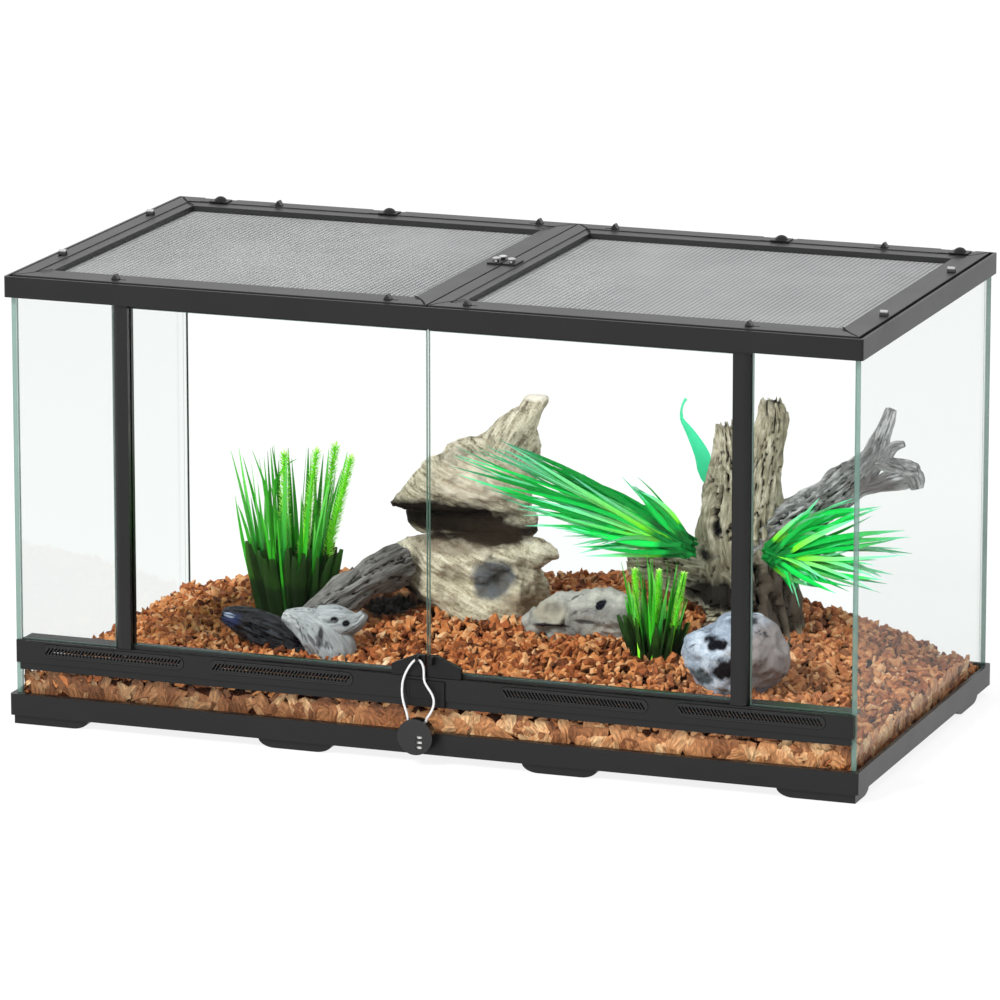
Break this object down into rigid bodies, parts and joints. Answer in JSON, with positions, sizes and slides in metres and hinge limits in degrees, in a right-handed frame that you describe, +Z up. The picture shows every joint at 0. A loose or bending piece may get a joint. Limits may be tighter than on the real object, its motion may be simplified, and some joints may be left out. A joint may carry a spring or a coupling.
{
  "type": "reptile terrarium",
  "caption": "Glass reptile terrarium with two hinged front doors, lift-out mesh lids, vent strip, cable lock and planted bark floor.",
  "frame": {"origin": "on the table under the middle of the whole object's box", "axes": "+X along the front to the right as seen from the front, +Y from front to back, +Z up"},
  "size_m": [0.91, 0.48, 0.4752],
  "materials": {
    "black_plastic": "satin black injection-moulded plastic",
    "dark_plastic": "satin near-black plastic",
    "lid_plastic": "satin dark grey plastic",
    "grey_plastic": "light grey plastic",
    "glass": "clear float glass with greenish edges",
    "rubber": "black sealing strip",
    "steel": "bright steel",
    "wire_mesh": "woven fine steel mesh",
    "lock_shell": "gloss black plastic",
    "wheel_white": "white plastic with plain dark digits",
    "bark": "loose reddish brown bark chips",
    "layered_stone": "layered grey-brown rock",
    "grey_stone": "rough grey rock",
    "old_wood": "weathered grey-brown wood",
    "leaf_green": "green artificial leaves"
  },
  "bodies": {
    "terrarium": {"base_frame": "black_plastic", "feet": "dark_plastic", "bottom_glass": "glass", "back_glass": "glass", "side_glass": "glass", "front_lower_glass": "glass", "front_side_panes": "glass", "vent_strip_base": "black_plastic", "vent_strip_posts": "black_plastic", "vent_strip_top": "black_plastic", "vent_grilles": "dark_plastic", "strip_plate": "dark_plastic", "top_frame": "black_plastic", "cross_bar": "dark_plastic", "substrate": "bark", "layered_rock": "layered_stone", "loose_rocks": "grey_stone", "driftwood": "old_wood", "plants": "leaf_green"},
    "left_door": {"left_door_stile": "black_plastic", "left_door_glass": "glass", "left_door_handle": "dark_plastic", "left_door_pins": "steel", "left_door_seals": "rubber"},
    "right_door": {"right_door_stile": "black_plastic", "right_door_glass": "glass", "right_door_handle": "dark_plastic", "right_door_pins": "steel", "right_door_seals": "rubber"},
    "cable_lock": {"lock_body": "lock_shell", "lock_back": "lock_shell", "lock_axle": "steel", "lock_cable": "steel"},
    "number_wheel_1": {"number_wheel_1": "wheel_white"},
    "number_wheel_2": {"number_wheel_2": "wheel_white"},
    "number_wheel_3": {"number_wheel_3": "wheel_white"},
    "left_lid": {"left_lid_frame": "lid_plastic", "left_lid_mesh": "wire_mesh", "left_latch_plate": "dark_plastic"},
    "left_latch_slider": {"left_latch_slider": "grey_plastic"},
    "left_clip_1": {"left_clip_1": "dark_plastic"},
    "left_clip_2": {"left_clip_2": "dark_plastic"},
    "left_clip_3": {"left_clip_3": "dark_plastic"},
    "left_clip_4": {"left_clip_4": "dark_plastic"},
    "left_clip_5": {"left_clip_5": "dark_plastic"},
    "left_clip_6": {"left_clip_6": "dark_plastic"},
    "right_lid": {"right_lid_frame": "lid_plastic", "right_lid_mesh": "wire_mesh", "right_latch_plate": "dark_plastic"},
    "right_latch_slider": {"right_latch_slider": "grey_plastic"},
    "right_clip_1": {"right_clip_1": "dark_plastic"},
    "right_clip_2": {"right_clip_2": "dark_plastic"},
    "right_clip_3": {"right_clip_3": "dark_plastic"},
    "right_clip_4": {"right_clip_4": "dark_plastic"},
    "right_clip_5": {"right_clip_5": "dark_plastic"},
    "right_clip_6": {"right_clip_6": "dark_plastic"},
    "cable_shutter_1": {"cable_shutter_1": "dark_plastic"},
    "cable_shutter_2": {"cable_shutter_2": "dark_plastic"},
    "cable_shutter_3": {"cable_shutter_3": "dark_plastic"},
    "cable_shutter_4": {"cable_shutter_4": "dark_plastic"}
  },
  "joints": [
    {"name": "left_door_hinge", "type": "hinge", "parent": "terrarium", "child": "left_door", "pos_m": [-0.331, -0.2135, 0.2675], "axis": [0, 0, -1], "range_deg": [0, 95]},
    {"name": "right_door_hinge", "type": "hinge", "parent": "terrarium", "child": "right_door", "pos_m": [0.331, -0.2135, 0.2675], "axis": [0, 0, 1], "range_deg": [0, 95]},
    {"name": "lock_swing", "type": "hinge", "parent": "left_door", "child": "cable_lock", "pos_m": [-0.0075, -0.2255, 0.1068], "axis": [-1, 0, 0], "range_deg": [0, 50]},
    {"name": "number_wheel_1_turn", "type": "hinge", "parent": "cable_lock", "child": "number_wheel_1", "pos_m": [-0.001, -0.2338, 0.0305], "axis": [0, 0, 1], "continuous": true},
    {"name": "number_wheel_2_turn", "type": "hinge", "parent": "cable_lock", "child": "number_wheel_2", "pos_m": [-0.001, -0.2338, 0.0253], "axis": [0, 0, 1], "continuous": true},
    {"name": "number_wheel_3_turn", "type": "hinge", "parent": "cable_lock", "child": "number_wheel_3", "pos_m": [-0.001, -0.2338, 0.0201], "axis": [0, 0, 1], "continuous": true},
    {"name": "left_lid_lift", "type": "slide", "parent": "terrarium", "child": "left_lid", "axis": [0, 0, 1], "range_m": [0, 0.12]},
    {"name": "left_latch_slide", "type": "slide", "parent": "left_lid", "child": "left_latch_slider", "axis": [-1, 0, 0], "range_m": [0, 0.0024]},
    {"name": "left_clip_1_slide", "type": "slide", "parent": "left_lid", "child": "left_clip_1", "axis": [1, 0, 0], "range_m": [0, 0.0075]},
    {"name": "left_clip_2_slide", "type": "slide", "parent": "left_lid", "child": "left_clip_2", "axis": [1, 0, 0], "range_m": [0, 0.0075]},
    {"name": "left_clip_3_slide", "type": "slide", "parent": "left_lid", "child": "left_clip_3", "axis": [-1, 0, 0], "range_m": [0, 0.0075]},
    {"name": "left_clip_4_slide", "type": "slide", "parent": "left_lid", "child": "left_clip_4", "axis": [-1, 0, 0], "range_m": [0, 0.0075]},
    {"name": "left_clip_5_slide", "type": "slide", "parent": "left_lid", "child": "left_clip_5", "axis": [0, -1, 0], "range_m": [0, 0.0075]},
    {"name": "left_clip_6_slide", "type": "slide", "parent": "left_lid", "child": "left_clip_6", "axis": [0, -1, 0], "range_m": [0, 0.0075]},
    {"name": "right_lid_lift", "type": "slide", "parent": "terrarium", "child": "right_lid", "axis": [0, 0, 1], "range_m": [0, 0.12]},
    {"name": "right_latch_slide", "type": "slide", "parent": "right_lid", "child": "right_latch_slider", "axis": [1, 0, 0], "range_m": [0, 0.0024]},
    {"name": "right_clip_1_slide", "type": "slide", "parent": "right_lid", "child": "right_clip_1", "axis": [1, 0, 0], "range_m": [0, 0.0075]},
    {"name": "right_clip_2_slide", "type": "slide", "parent": "right_lid", "child": "right_clip_2", "axis": [1, 0, 0], "range_m": [0, 0.0075]},
    {"name": "right_clip_3_slide", "type": "slide", "parent": "right_lid", "child": "right_clip_3", "axis": [-1, 0, 0], "range_m": [0, 0.0075]},
    {"name": "right_clip_4_slide", "type": "slide", "parent": "right_lid", "child": "right_clip_4", "axis": [-1, 0, 0], "range_m": [0, 0.0075]},
    {"name": "right_clip_5_slide", "type": "slide", "parent": "right_lid", "child": "right_clip_5", "axis": [0, 1, 0], "range_m": [0, 0.0075]},
    {"name": "right_clip_6_slide", "type": "slide", "parent": "right_lid", "child": "right_clip_6", "axis": [0, 1, 0], "range_m": [0, 0.0075]},
    {"name": "cable_shutter_1_slide", "type": "slide", "parent": "left_lid", "child": "cable_shutter_1", "axis": [-1, 0, 0], "range_m": [0, 0.018]},
    {"name": "cable_shutter_2_slide", "type": "slide", "parent": "left_lid", "child": "cable_shutter_2", "axis": [-1, 0, 0], "range_m": [0, 0.018]},
    {"name": "cable_shutter_3_slide", "type": "slide", "parent": "right_lid", "child": "cable_shutter_3", "axis": [-1, 0, 0], "range_m": [0, 0.018]},
    {"name": "cable_shutter_4_slide", "type": "slide", "parent": "right_lid", "child": "cable_shutter_4", "axis": [-1, 0, 0], "range_m": [0, 0.018]}
  ]
}
